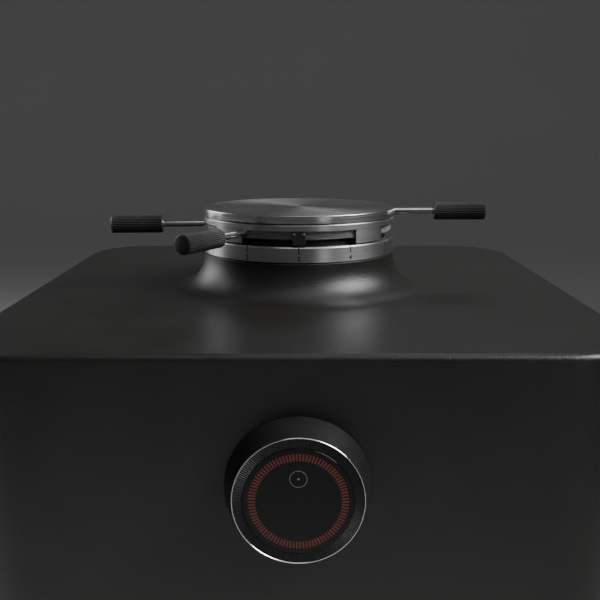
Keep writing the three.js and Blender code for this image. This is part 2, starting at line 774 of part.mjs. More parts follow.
function dialKnob() {
  const baseR = 25.1;
  const back = HALF + 0.5;
  const front = RIM_FRONT - 1.3;
  const bore = DIAL_SEAT_R + GAP;
  const lip = GLASS_R + GAP;
  return turned(
    [[bore, back], [baseR, back], [RIM_R, front], [lip, front], [lip, HALF + 7], [bore, HALF + 7]],
    FINE,
  );
}

const dialRim = () => ring(RIM_R - RIM_WIDTH, RIM_R, RIM_FRONT - 1, RIM_FRONT, FINE);
const displayGlass = () => disc(GLASS_R, GLASS_BACK, GLASS_FRONT, FINE);

// The display's carrier is a plate with a stem that presses the encoder's switch.
function displayCarrier() {
  const front = GLASS_BACK - GAP;
  return turned(
    [[0, STEM_BACK], [4, STEM_BACK], [4, front - 2], [GLASS_R, front - 2], [GLASS_R, front], [0, front]],
    MEDIUM,
  );
}

function encoderBoard() {
  const front = HALF - 11 - GAP;
  const encoder = disc(7, front - 1, STEM_BACK - DISPLAY_TRAVEL - GAP, 12);
  return disc(19, front - 1.6, front, MEDIUM).add(encoder);
}

// A return spring round the stem: a round wire along a helix, laid along the dial's axis.
function displaySpring() {
  const [low, high] = [HALF - 7.5, HALF + 4];
  const coilR = 8;
  const wireR = 0.5;
  const turns = 4;
  const perTurn = 8;
  const count = turns * perTurn;
  const points = [];
  for (let i = 0; i <= count; i++) {
    const a = (i / perTurn) * 2 * Math.PI;
    const z = low + ((high - low) * i) / count;
    points.push(new THREE.Vector3(coilR * Math.cos(a), coilR * Math.sin(a), z));
  }
  const section = new THREE.Shape();
  section.absarc(0, 0, wireR, 0, 2 * Math.PI);
  const extrudePath = new THREE.CatmullRomCurve3(points);
  return solidOf(new THREE.ExtrudeGeometry(section, { steps: count, curveSegments: 2, extrudePath }));
}

function addDial() {
  const onDial = (solid) => at(towardsFront(solid), 0, 0, DIAL_Z);
  add("dial_seat", onDial(dialSeat()), BLACK_PLASTIC);
  add("dial_knob", onDial(dialKnob()), BLACK_ANODISED);
  add("dial_rim", onDial(dialRim()), POLISHED_STEEL);
  add("display_glass", onDial(displayGlass()), BLACK_GLASS);
  add("display_carrier", onDial(displayCarrier()), BLACK_PLASTIC);
  add("display_spring", onDial(displaySpring()), POLISHED_STEEL);
  add("encoder_board", onDial(encoderBoard()), CIRCUIT_GREEN);
}

// ---------------------------------------------------------------- cup
function dosingCup() {
  const z0 = MAT_TOP_Z + GAP;
  const z1 = z0 + CUP_H;
  const outline = [
    [0, z0],
    [CUP_R - 3, z0],
    [CUP_R - 2, z0 + 1],
    [CUP_R, z1],
    [CUP_R - CUP_WALL, z1],
    [CUP_R - 2 - CUP_WALL, z0 + 4],
    [CUP_R - 4 - CUP_WALL, z0 + 2],
    [0, z0 + 2],
  ];
  return at(turned(outline, FINE), 0, SPOUT_Y, 0);
}

const cupMat = () => at(disc(30, BASE_TOP_Z + GAP, MAT_TOP_Z, MEDIUM), 0, SPOUT_Y, 0);

// ---------------------------------------------------------------- the assembly
const WHEEL_LEVER_Z = TOP_Z + 28.7;
const LID_LEVER_Z = TOP_Z + 34.2;
const WHEEL_LEVERS = { wheel_left: 184, wheel_front: 239 };
const LID_LEVER_ANGLE = 0;

add("housing_shell", housingShell(), BLACK_CAST);
add("head_floor", headFloor(), BLACK_CAST);
add("base_plate", basePlate(), BLACK_CAST);
addFeet();
add("rear_cover", rearCover(), BLACK_PLASTIC);
addRearScrews();
add("power_inlet", powerInlet(), BLACK_PLASTIC);
add("switch_frame", switchFrame(), BLACK_PLASTIC);
add("power_rocker", powerRocker(), BLACK_PLASTIC);

add("scale_ring", scaleRing(), SATIN_ALUMINIUM);
add("neck_collar", neckCollar(), BLACK_ANODISED);
let wheel = wheelBody();
for (const [name, angle] of Object.entries(WHEEL_LEVERS)) {
  wheel = wheel.subtract(studHole(WHEEL_LEVER_Z).rotate([0, 0, angle]));
  addLever(name, angle, WHEEL_LEVER_Z);
}
add("adjusting_wheel", wheel, SATIN_ALUMINIUM);
add("index_pointer", indexPointer(), BURR_STEEL);
add("lid_disc", lidDisc().subtract(studHole(LID_LEVER_Z).rotate([0, 0, LID_LEVER_ANGLE])), SATIN_ALUMINIUM);
addLever("lid", LID_LEVER_ANGLE, LID_LEVER_Z);
add("lid_plug", lidPlug(), BLACK_PLASTIC);
add("lid_gasket", lidGasket(), RUBBER);
add("lid_pivot_screw", lidPivotScrew(), POLISHED_STEEL);

add("upper_burr_carrier", upperBurrCarrier(), CAST_GREY);
add("upper_burr", burr(19, UPPER_BURR_BOTTOM, UPPER_BURR_BOTTOM + BURR_H, false), BURR_STEEL);
add("feed_funnel", feedFunnel(), BLACK_PLASTIC);
add("lower_burr_carrier", lowerBurrCarrier(), CAST_GREY);
add("lower_burr", burr(13, LOWER_BURR_TOP - BURR_H, LOWER_BURR_TOP, true), BURR_STEEL);
add("burr_nut", burrNut(), POLISHED_STEEL);
add("main_shaft", mainShaft(), POLISHED_STEEL);
add("grind_chamber", grindChamber(), CAST_GREY);
addGuidePins();
add("chute", chute(), BLACK_PLASTIC);
add("spout", spout(), BLACK_ANODISED);
addMotor();
add("power_supply", powerSupply(), CAST_GREY);
add("controller_board", controllerBoard(), CIRCUIT_GREEN);
addDial();
add("cup_mat", cupMat(), RUBBER);
add("dosing_cup", dosingCup(), SATIN_ALUMINIUM);

export default grinder;
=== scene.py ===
"""Looks for the burr coffee grinder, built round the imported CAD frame.

Lengths are in millimetres, up to the stage at the end, and become metres as each mesh is made.
The burr axis is vertical, at x = 0 and y = AXIS_Y. The front faces -Y.
"""
import json
import math

import bmesh
import bpy
from mathutils import Matrix, Vector

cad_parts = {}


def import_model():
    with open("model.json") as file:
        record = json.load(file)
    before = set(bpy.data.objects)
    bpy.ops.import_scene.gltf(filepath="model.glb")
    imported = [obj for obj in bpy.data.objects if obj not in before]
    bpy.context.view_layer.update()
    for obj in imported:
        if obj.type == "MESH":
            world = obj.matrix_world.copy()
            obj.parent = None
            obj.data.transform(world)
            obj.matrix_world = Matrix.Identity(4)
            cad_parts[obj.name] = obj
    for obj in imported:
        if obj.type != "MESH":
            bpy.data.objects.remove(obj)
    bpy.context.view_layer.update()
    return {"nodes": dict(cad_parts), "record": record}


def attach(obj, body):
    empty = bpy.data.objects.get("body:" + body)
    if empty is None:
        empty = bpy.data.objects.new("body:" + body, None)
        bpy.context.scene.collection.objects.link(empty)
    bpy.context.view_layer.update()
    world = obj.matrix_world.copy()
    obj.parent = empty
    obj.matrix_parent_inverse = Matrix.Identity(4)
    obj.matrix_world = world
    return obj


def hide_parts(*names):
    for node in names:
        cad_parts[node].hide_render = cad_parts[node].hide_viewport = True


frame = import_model()
NODES = frame["nodes"]

# ------------------------------------------------------------------ dimensions
MM = 0.001
ON_AXIS = 1e-6          # a radius below this is on the axis
GAP = 0.3               # play between parts that meet
SHARP = 30              # an edge sharper than this many degrees is drawn sharp
CAD_SHARP = 28          # the same for the frame's own pieces

AXIS_Y = 6.0            # the burr axis, from the middle of the frame
SIDE_X = 121.5          # the housing's half width
HALF = 127.5            # and its half depth
CORNER_R = 32.0
WALL = 3.0
TOP = 280.0             # height of the flat top
TOP_EDGE_R = 2.5
HEAD = 165.0            # height of the head's underside
COLUMN_CORNER_R = 22.0
COLUMN_FRONT = -55.0
BASE_TOP = 18.0
BASE_EDGE = 2.0
FOOT_H = 5.0
FOOT_AT = 98.0

RING_R = 44.0           # outside of ring, wheel and lid
FLARE_R = 15.0
NECK_TOP = TOP + 16.3
NECK_BORE_R = 39.6
MARK_RISE = 0.015       # of the filled marks over the ring's face
DIGIT_HEIGHT = 2.15

GRIP_START = 63.0       # the grips, from the burr axis
GRIP_END = 86.5
GRIP_R = 4.0
GRIP_RIBS = 30

DIAL_Z = 234.3
DIAL_BORE_R = 20.1
DIAL_TEETH = 180
RIM_FRONT = HALF + 12.0
RIM_R = 21.9
RIM_WIDTH = 0.45
GLASS_R = 18.0
PRINT_RISE = 0.01       # of the display's marks over its glass

COVER_Z = 125.0         # middle of the rear opening
COVER_SIZE = 150.0
VENTS = 8
COVER_SCREWS = [(-68, 57), (68, 57), (-68, 193), (68, 193)]
INLET = (-24, 76, 28, 20)   # x, z, width and height
SWITCH = (24, 76, 22, 14)
SPOUT_Y = -90.0


# ------------------------------------------------------------------ mesh making
def make(name, verts, faces, material, body=None, smooth=SHARP, place=None, weighted=False):
    """A mesh object from points in millimetres, counted from the burr axis."""
    mesh = bpy.data.meshes.new(name)
    place = place or Matrix.Identity(4)
    shift = Matrix.Translation((0, AXIS_Y, 0))
    mesh.from_pydata([tuple((shift @ place @ Vector(v)) * MM) for v in verts], [], faces)
    mesh.validate()
    tidy(mesh, smooth)
    obj = bpy.data.objects.new(name, mesh)
    bpy.context.scene.collection.objects.link(obj)
    if material:
        mesh.materials.append(material)
    if weighted:
        weigh(obj)
    if body:
        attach(obj, body)
    return obj


def tidy(mesh, smooth=SHARP):
    """Faces point out, and edges sharper than the angle stay sharp. Flat shading if it is 0."""
    bm = bmesh.new()
    bm.from_mesh(mesh)
    bmesh.ops.recalc_face_normals(bm, faces=bm.faces)
    bm.to_mesh(mesh)
    bm.free()
    if smooth:
        mesh.shade_smooth()
        mesh.set_sharp_from_angle(angle=math.radians(smooth))
    else:
        mesh.shade_flat()


def weigh(obj):
    """Flat faces stay flat beside a rounded edge."""
    modifier = obj.modifiers.new("weighted", "WEIGHTED_NORMAL")
    modifier.keep_sharp = True


def lathe(profile, count=160):
    """Points [radius, z] turned about Z. It starts and ends on the axis, or closes on itself."""
    verts, rows = [], []
    for r, z in profile:
        if r < ON_AXIS:
            rows.append([len(verts)])
            verts.append((0, 0, z))
            continue
        rows.append(list(range(len(verts), len(verts) + count)))
        for i in range(count):
            a = 2 * math.pi * i / count
            verts.append((r * math.cos(a), r * math.sin(a), z))
    faces = []
    closed = profile[0][0] > ON_AXIS
    pairs = list(zip(rows, rows[1:])) + ([(rows[-1], rows[0])] if closed else [])
    for a, b in pairs:
        for i in range(count):
            j = (i + 1) % count
            if len(a) == 1 and len(b) == 1:
                break
            if len(a) == 1:
                faces.append((a[0], b[j], b[i]))
            elif len(b) == 1:
                faces.append((a[i], a[j], b[0]))
            else:
                faces.append((a[i], a[j], b[j], b[i]))
    return verts, faces


def loft(loops):
    """Closed solid through loops of equal length, capped flat at both ends."""
    n = len(loops[0])
    verts = [p for loop in loops for p in loop]
    faces = []
    for k in range(len(loops) - 1):
        for i in range(n):
            j = (i + 1) % n
            faces.append((k * n + i, k * n + j, (k + 1) * n + j, (k + 1) * n + i))
    faces.append(tuple(range(n - 1, -1, -1)))
    faces.append(tuple(range((len(loops) - 1) * n, len(loops) * n)))
    return verts, faces


def plan(x0, x1, y0, y1, front_r, back_r, arc=12, side=24):
    """A rounded rectangle as points, anticlockwise from above, starting on the front side."""
    points = []
    corners = [
        (x1 - front_r, y0 + front_r, front_r, -90),
        (x1 - back_r, y1 - back_r, back_r, 0),
        (x0 + back_r, y1 - back_r, back_r, 90),
        (x0 + front_r, y0 + front_r, front_r, 180),
    ]
    for k, (cx, cy, r, start) in enumerate(corners):
        arc_points = []
        for i in range(arc + 1):
            a = math.radians(start + 90 * i / arc)
            arc_points.append((cx + r * math.cos(a), cy + r * math.sin(a)))
        points += arc_points
        nx, ny, nr, nstart = corners[(k + 1) % 4]
        b = math.radians(nstart)
        end = (nx + nr * math.cos(b), ny + nr * math.sin(b))
        for i in range(1, side):
            t = i / side
            points.append((
                arc_points[-1][0] * (1 - t) + end[0] * t,
                arc_points[-1][1] * (1 - t) + end[1] * t,
            ))
    return points


def inset_plan(d):
    """The housing's outline, drawn in by d."""
    r = max(CORNER_R - d, 0.5)
    return plan(-SIDE_X + d, SIDE_X - d, -HALF + d, HALF - d, r, r)


def prism(outline, z0, z1):
    """An outline of [x, y] points as a solid between two heights."""
    return loft([[(x, y, z) for x, y in outline] for z in (z0, z1)])


def rounded_slab(z0, z1, edge, steps):
    """Loops of a slab with the housing's outline and rounded bottom and top edges."""
    angles = [math.pi / 2 * i / steps for i in range(steps + 1)]
    levels = [(edge * (1 - math.sin(a)), z0 + edge * (1 - math.cos(a))) for a in angles]
    levels += [(edge * (1 - math.cos(a)), z1 - edge * (1 - math.sin(a))) for a in angles]
    return [[(x, y, z) for x, y in inset_plan(d)] for d, z in levels]


def boolean(obj, cutters, operation):
    """Applies each cutter to obj, then removes it."""
    for cutter in cutters:
        modifier = obj.modifiers.new("cut", "BOOLEAN")
        modifier.operation = operation
        modifier.solver = "EXACT"
        modifier.object = cutter
        depsgraph = bpy.context.evaluated_depsgraph_get()
        made = bpy.data.meshes.new_from_object(obj.evaluated_get(depsgraph))
        obj.modifiers.clear()
        old, obj.data = obj.data, made
        bpy.data.meshes.remove(old)
        bpy.data.objects.remove(cutter)


def block(lo, hi):
    (x0, y0, z0), (x1, y1, z1) = lo, hi
    return prism([(x0, y0), (x1, y0), (x1, y1), (x0, y1)], z0, z1)


def ease(profile, size=0.3):
    """The profile with a small round in place of each corner that is off the axis."""
    made = []
    open_ended = profile[0][0] < ON_AXIS
    for i, point in enumerate(profile):
        here = Vector(point)
        if open_ended and i in (0, len(profile) - 1):
            made.append(point)
            continue
        back = Vector(profile[i - 1]) - here
        ahead = Vector(profile[(i + 1) % len(profile)]) - here
        reach = min(size, back.length * 0.45, ahead.length * 0.45)
        start, end = here + back.normalized() * reach, here + ahead.normalized() * reach
        for t in (0, 0.25, 0.5, 0.75, 1):
            made.append(tuple(start * (1 - t) ** 2 + here * 2 * t * (1 - t) + end * t ** 2))
    return made


def panel(x, z, width, height, y0, y1, r, edge=0.0):
    """A slab that faces the back, with rounded corners and an eased rear edge."""
    loops = []
    for y, d in ((y0, 0), (y1 - edge, 0), (y1 - 0.3 * edge, 0.3 * edge), (y1, edge)):
        corner = max(r - d, 0.05)
        half_w, half_h = width / 2 - d, height / 2 - d
        outline = plan(x - half_w, x + half_w, z - half_h, z + half_h, corner, corner, 6, 1)
        if not loops or y > loops[-1][0][1]:
            loops.append([(px, y, pz) for px, pz in outline])
    return loft(loops)


def gather(parts):
    """Several meshes as one."""
    verts, faces = [], []
    for v, f in parts:
        first = len(verts)
        verts += v
        faces += [tuple(i + first for i in face) for face in f]
    return verts, faces


def placed(place, mesh):
    """The mesh's points moved by a matrix."""
    verts, faces = mesh
    return [tuple(place @ Vector(v)) for v in verts], faces


FRONTWARDS = Matrix.Rotation(math.pi / 2, 4, "X")  # a lathe's z becomes distance in front of the axis
BACKWARDS = Matrix.Rotation(-math.pi / 2, 4, "X")  # and here distance behind it
DIAL = Matrix.Translation((0, 0, DIAL_Z)) @ FRONTWARDS


# ------------------------------------------------------------------ materials
class Shader:
    """A material with a Principled shader and short calls for adding nodes to it."""

    def __init__(self, name, color, rough, metal=0.0, **sockets):
        self.mat = bpy.data.materials.new(name)
        self.mat.use_nodes = True
        self.tree = self.mat.node_tree
        self.bsdf = next(n for n in self.tree.nodes if n.type == "BSDF_PRINCIPLED")
        self.bsdf.inputs["Base Color"].default_value = (*color, 1)
        self.bsdf.inputs["Roughness"].default_value = rough
        self.bsdf.inputs["Metallic"].default_value = metal
        for key, value in sockets.items():
            self.bsdf.inputs[key.replace("_", " ")].default_value = value
        self.coords = self.node("ShaderNodeTexCoord").outputs["Object"]

    def node(self, kind, **values):
        made = self.tree.nodes.new(kind)
        for key, value in values.items():
            setattr(made, key, value)
        return made

    def link(self, source, target):
        self.tree.links.new(source, target)

    def math(self, op, a, b=0.0):
        made = self.node("ShaderNodeMath", operation=op)
        for socket, value in zip(made.inputs, (a, b)):
            if isinstance(value, (int, float)):
                socket.default_value = value
            else:
                self.link(value, socket)
        return made.outputs[0]

    def noise(self, scale, detail=3.0, rough=0.55, vector=None):
        made = self.node("ShaderNodeTexNoise")
        made.inputs["Scale"].default_value = scale
        made.inputs["Detail"].default_value = detail
        made.inputs["Roughness"].default_value = rough
        self.link(vector or self.coords, made.inputs["Vector"])
        return made.outputs["Fac"]

    def stretched(self, x, y, z):
        """Coordinates scaled along each axis, for lines and streaks."""
        made = self.node("ShaderNodeMapping")
        made.inputs["Scale"].default_value = (x, y, z)
        self.link(self.coords, made.inputs["Vector"])
        return made.outputs["Vector"]

    def turning(self, across, along, z_scale):
        """Radius, angle and height about the burr axis, each scaled, for turning marks."""
        centred = self.node("ShaderNodeVectorMath", operation="SUBTRACT")
        centred.inputs[1].default_value = (0, AXIS_Y * MM, 0)
        self.link(self.coords, centred.inputs[0])
        split = self.node("ShaderNodeSeparateXYZ")
        self.link(centred.outputs[0], split.inputs[0])
        x, y, z = split.outputs
        square = self.math("ADD", self.math("POWER", x, 2.0), self.math("POWER", y, 2.0))
        radius = self.math("MULTIPLY", self.math("SQRT", square), across)
        angle = self.math("MULTIPLY", self.math("ARCTAN2", y, x), along)
        height = self.math("MULTIPLY", z, z_scale)
        made = self.node("ShaderNodeCombineXYZ")
        for i, value in enumerate((radius, angle, height)):
            self.link(value, made.inputs[i])
        return made.outputs[0]

    def spread(self, value, low, high):
        """Maps a noise, which is mostly 0.3 to 0.7, on to low to high."""
        made = self.node("ShaderNodeMapRange")
        made.inputs["From Min"].default_value = 0.3
        made.inputs["From Max"].default_value = 0.7
        made.inputs["To Min"].default_value = low
        made.inputs["To Max"].default_value = high
        self.link(value, made.inputs["Value"])
        return made.outputs[0]

    def rough(self, value, low, high):
        self.link(self.spread(value, low, high), self.bsdf.inputs["Roughness"])

    def tint(self, value, dark, light):
        ramp = self.node("ShaderNodeMix", data_type="RGBA")
        ramp.inputs["A"].default_value = (*dark, 1)
        ramp.inputs["B"].default_value = (*light, 1)
        self.link(self.spread(value, 0.0, 1.0), ramp.inputs["Factor"])
        self.link(ramp.outputs["Result"], self.bsdf.inputs["Base Color"])

    def bump(self, height, depth, strength):
        """Relief with its depth in millimetres."""
        made = self.node("ShaderNodeBump")
        made.inputs["Strength"].default_value = strength
        made.inputs["Distance"].default_value = depth * MM
        self.link(height, made.inputs["Height"])
        self.link(made.outputs["Normal"], self.bsdf.inputs["Normal"])

    def radial(self, amount):
        """Stretches the highlight across turning marks about Z, a quarter turn from the tangent."""
        tangent = self.node("ShaderNodeTangent", direction_type="RADIAL", axis="Z")
        self.link(tangent.outputs[0], self.bsdf.inputs["Tangent"])
        self.bsdf.inputs["Anisotropic"].default_value = amount
        self.bsdf.inputs["Anisotropic Rotation"].default_value = 0.25


def powder_coat():
    s = Shader("powder_coat_black", (0.012, 0.0113, 0.0106), 0.32, Specular_IOR_Level=0.5)
    s.tint(s.noise(60, 4), (0.0100, 0.0094, 0.0088), (0.0145, 0.0136, 0.0127))
    s.rough(s.noise(1400, 3), 0.29, 0.43)
    s.bump(s.noise(1300, 2, 0.6), 0.13, 0.8)
    return s.mat


def black_anodised(name, rough, lighter):
    base = tuple(c * lighter for c in (0.0112, 0.011, 0.0108))
    s = Shader(name, base, rough, 0.35)
    s.tint(s.noise(120, 3), tuple(c * 0.82 for c in base), tuple(c * 1.35 for c in base))
    s.rough(s.noise(1500, 3), rough - 0.05, rough + 0.07)
    s.bump(s.noise(3800, 2), 0.012, 0.4)
    return s.mat


def turned_aluminium():
    s = Shader("lid_turned", (0.62, 0.62, 0.63), 0.26, 1.0)
    lines = s.noise(1.0, 4, 0.7, s.turning(5200, 0.6, 5200))
    s.tint(s.noise(1.0, 2, 0.5, s.turning(900, 0.4, 900)), (0.52, 0.52, 0.52), (0.70, 0.70, 0.70))
    s.rough(lines, 0.19, 0.31)
    s.bump(lines, 0.006, 0.5)
    s.radial(0.65)
    return s.mat


def satin_aluminium():
    s = Shader("satin_aluminium", (0.56, 0.56, 0.57), 0.3, 1.0)
    lines = s.noise(1.0, 3, 0.6, s.turning(900, 0.8, 6500))
    s.tint(s.noise(1.0, 2, 0.5, s.turning(300, 2.0, 900)), (0.53, 0.53, 0.54), (0.59, 0.59, 0.60))
    s.rough(lines, 0.28, 0.36)
    s.bump(lines, 0.002, 0.4)
    s.radial(0.6)
    return s.mat


def polished_steel():
    s = Shader("polished_steel", (0.68, 0.68, 0.69), 0.14, 1.0)
    s.tint(s.noise(300, 2), (0.62, 0.62, 0.63), (0.74, 0.74, 0.75))
    s.rough(s.noise(2200, 4, 0.7), 0.10, 0.22)
    s.bump(s.noise(5000, 2), 0.002, 0.4)
    return s.mat


def ground_steel():
    s = Shader("ground_steel", (0.20, 0.20, 0.205), 0.36, 1.0)
    lines = s.noise(1.0, 3, 0.6, s.stretched(400, 4500, 4500))
    s.tint(lines, (0.17, 0.17, 0.175), (0.24, 0.24, 0.245))
    s.rough(lines, 0.29, 0.43)
    s.bump(lines, 0.004, 0.5)
    return s.mat


def dark_thread():
    s = Shader("dark_thread", (0.5, 0.5, 0.5), 0.42, 0.9)
    lines = s.noise(1.0, 2, 0.5, s.turning(500, 1.0, 5000))
    s.tint(lines, (0.44, 0.44, 0.44), (0.56, 0.56, 0.56))
    s.rough(lines, 0.38, 0.52)
    s.bump(lines, 0.006, 0.5)
    return s.mat


def moulded_plastic():
    s = Shader("moulded_plastic", (0.012, 0.012, 0.012), 0.52)
    s.tint(s.noise(90, 3), (0.012, 0.012, 0.012), (0.0162, 0.0162, 0.0162))
    s.rough(s.noise(700, 3), 0.45, 0.60)
    s.bump(s.noise(2200, 2), 0.02, 0.45)
    return s.mat


def rubber():
    s = Shader("rubber", (0.013, 0.013, 0.013), 0.78)
    s.tint(s.noise(240, 4), (0.010, 0.010, 0.010), (0.019, 0.019, 0.018))
    s.rough(s.noise(800, 2), 0.70, 0.88)
    s.bump(s.noise(1800, 3), 0.03, 0.5)
    return s.mat


def display_black():
    s = Shader("display_black", (0.0035, 0.0035, 0.004), 0.07, Specular_IOR_Level=0.32)
    s.tint(s.noise(25, 2), (0.003, 0.003, 0.0035), (0.005, 0.005, 0.0055))
    s.rough(s.noise(140, 3), 0.05, 0.10)
    return s.mat


def lit_red():
    s = Shader("lit_red", (0.08, 0.013, 0.011), 0.4, Emission_Strength=0.08)
    s.bsdf.inputs["Emission Color"].default_value = (0.42, 0.06, 0.045, 1)
    s.tint(s.noise(800, 2), (0.06, 0.011, 0.009), (0.11, 0.017, 0.014))
    s.rough(s.noise(900, 2), 0.32, 0.48)
    return s.mat


def engraving():
    s = Shader("engraving_black", (0.012, 0.012, 0.013), 0.5)
    s.tint(s.noise(2500, 2), (0.009, 0.009, 0.010), (0.018, 0.018, 0.019))
    s.rough(s.noise(1800, 2), 0.42, 0.6)
    return s.mat


def printed_grey():
    s = Shader("printed_grey", (0.20, 0.20, 0.20), 0.5)
    s.tint(s.noise(2500, 2), (0.17, 0.17, 0.17), (0.24, 0.24, 0.24))
    s.rough(s.noise(1500, 2), 0.42, 0.58)
    return s.mat


def cast_metal():
    s = Shader("cast_metal", (0.30, 0.30, 0.31), 0.5, 0.9)
    s.tint(s.noise(160, 4), (0.24, 0.24, 0.25), (0.36, 0.36, 0.37))
    s.rough(s.noise(500, 4), 0.42, 0.62)
    s.bump(s.noise(1300, 3), 0.05, 0.5)
    return s.mat


def circuit():
    s = Shader("circuit_green", (0.02, 0.09, 0.045), 0.35)
    s.tint(s.noise(350, 2), (0.015, 0.07, 0.035), (0.03, 0.12, 0.06))
    s.rough(s.noise(600, 2), 0.28, 0.45)
    return s.mat


def copper():
    s = Shader("copper_winding", (0.50, 0.20, 0.09), 0.35, 1.0)
    lines = s.noise(1.0, 2, 0.5, s.turning(2500, 0.2, 1500))
    s.tint(lines, (0.38, 0.14, 0.06), (0.60, 0.26, 0.12))
    s.rough(lines, 0.28, 0.46)
    s.bump(lines, 0.05, 0.6)
    return s.mat


POWDER = powder_coat()
ANODISED = black_anodised("black_anodised", 0.36, 1.7)
GRIP = black_anodised("grip_black", 0.42, 2.9)
LID_METAL = turned_aluminium()
SATIN = satin_aluminium()
STEEL = polished_steel()
GROUND = ground_steel()
THREAD = dark_thread()
PLASTIC = moulded_plastic()
RUBBER = rubber()
DISPLAY = display_black()
RED = lit_red()
ENGRAVING = engraving()
PRINT = printed_grey()
CAST = cast_metal()
CIRCUIT = circuit()
COPPER = copper()

SLOT_LOOKS = {
    "housing": POWDER,
    "black_anodised": ANODISED,
    "satin_aluminium": SATIN,
    "polished_steel": STEEL,
    "burr_steel": GROUND,
    "black_plastic": PLASTIC,
    "display_glass": DISPLAY,
    "rubber": RUBBER,
    "circuit_board": CIRCUIT,
    "copper_winding": COPPER,
    "cast_aluminium": CAST,
}
for part in frame["record"]["subparts"]:
    mesh = NODES[part["node"]].data
    mesh.materials.clear()
    mesh.materials.append(SLOT_LOOKS[part["material_slot"]])
    mesh.shade_smooth()
    mesh.set_sharp_from_angle(angle=math.radians(CAD_SHARP))


def stand_for(obj, slot_name, *nodes):
    """Hides the CAD nodes that obj stands for, if any. The slot name is not used."""
    if nodes:
        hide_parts(*nodes)


def cut_on_frame(obj, cutters):
    """Takes the cutters out of obj, which then rides on the frame."""
    boolean(obj, cutters, "DIFFERENCE")
    tidy(obj.data)
    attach(obj, "frame")


# ------------------------------------------------------------------ housing
def head_loops():
    """From the neck's top, down the flare, over the top and its edge, down the sides, to the underside."""
    flat = inset_plan(TOP_EDGE_R + 0.6)
    angles = [math.atan2(y, x) for x, y in flat]

    def circle(r, z):
        return [(r * math.cos(a), r * math.sin(a), z) for a in angles]

    loops = [
        circle(RING_R - 0.3, NECK_TOP),
        circle(RING_R, NECK_TOP - 0.3),
        circle(RING_R, TOP + FLARE_R + 0.4),
    ]
    foot_r = RING_R + FLARE_R
    steps = 20
    for i in range(steps + 1):
        a = math.pi / 2 * (1 - i / steps)
        loops.append(circle(foot_r - FLARE_R * math.sin(a), TOP + FLARE_R * (1 - math.cos(a))))
    loops.append(circle(foot_r + 3, TOP))
    loops.append([(x, y, TOP) for x, y in flat])
    return loops + rounded_slab(HEAD, TOP, TOP_EDGE_R, 8)[::-1]


def round_cutter(r, z0, z1):
    """What a round hole takes out."""
    return lathe([(0, z0), (r, z0), (r, z1), (0, z1)])


def housing():
    """The casting: head and column in one, with their rooms, the neck's bore and two openings."""
    shell = make("housing_look", *loft(head_loops()), None)
    x, y = SIDE_X - WALL, HALF - WALL
    room_r, front_r = CORNER_R - WALL, COLUMN_CORNER_R - WALL
    outside = plan(-SIDE_X, SIDE_X, COLUMN_FRONT, HALF, COLUMN_CORNER_R, CORNER_R)
    column = make("column", *prism(outside, BASE_TOP + GAP, HEAD + WALL), None)
    inside = plan(-x, x, -y, y, room_r, room_r)
    head_room = make("head_room", *prism(inside, HEAD - 1, TOP - WALL), None)
    inside = plan(-x, x, COLUMN_FRONT + WALL, y, front_r, room_r)
    column_room = make("column_room", *prism(inside, BASE_TOP - 5, HEAD + 2 * WALL), None)
    bore = make("bore", *round_cutter(NECK_BORE_R, TOP - 10, TOP + 30), None)
    dial_hole = make("dial_hole", *round_cutter(DIAL_BORE_R, HALF - 10, HALF + 9), None, place=DIAL)
    half = COVER_SIZE / 2
    low, high = (-half, y - GAP, COVER_Z - half), (half, HALF + 10, COVER_Z + half)
    rear = make("rear_opening", *block(low, high), None)
    boolean(shell, [head_room], "DIFFERENCE")
    boolean(shell, [column], "UNION")
    boolean(shell, [column_room, bore, dial_hole, rear], "DIFFERENCE")
    finish_cast(shell)
    stand_for(shell, "housing", "housing_shell")


def finish_cast(obj):
    """The coat and the smooth shading of a cast piece once it is cut."""
    tidy(obj.data)
    obj.data.materials.clear()
    obj.data.materials.append(POWDER)
    weigh(obj)
    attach(obj, "frame")


def head_floor():
    """The plate that closes the overhanging part of the head from below."""
    x, y = SIDE_X - WALL - GAP, HALF - WALL - GAP
    outline = plan(-x, x, -y, COLUMN_FRONT + COLUMN_CORNER_R, CORNER_R - WALL - GAP, 0.5)
    plate = make("head_floor_look", *prism(outline, HEAD, HEAD + WALL), None)
    x = SIDE_X + GAP
    outline = plan(-x, x, COLUMN_FRONT - GAP, HALF, COLUMN_CORNER_R + GAP, 5)
    column = make("column_cut", *prism(outline, HEAD - 1, HEAD + 2 * WALL), None)
    place = Matrix.Translation((0, SPOUT_Y, 0))
    hole = make("spout_hole", *round_cutter(17, HEAD - 5, HEAD + 9), None, place=place)
    boolean(plate, [column, hole], "DIFFERENCE")
    finish_cast(plate)
    stand_for(plate, "housing", "head_floor")


def base():
    """The slab under the column and its four rubber feet."""
    slab = loft(rounded_slab(FOOT_H, BASE_TOP, BASE_EDGE, 6))
    plate = make("base_look", *slab, POWDER, "frame", weighted=True)
    stand_for(plate, "housing", "base_plate")
    top = FOOT_H - GAP
    foot = [(0, 0), (9.8, 0), (10.6, 0.5), (11.5, 1.6), (11.5, top), (0, top)]
    for end, y in (("front", -FOOT_AT), ("rear", FOOT_AT)):
        for side, x in (("left", -FOOT_AT), ("right", FOOT_AT)):
            place = Matrix.Translation((x, y, 0))
            obj = make(f"foot_{end}_{side}_look", *lathe(foot, 64), RUBBER, "frame", place=place)
            stand_for(obj, "rubber", f"foot_{end}_{side}")


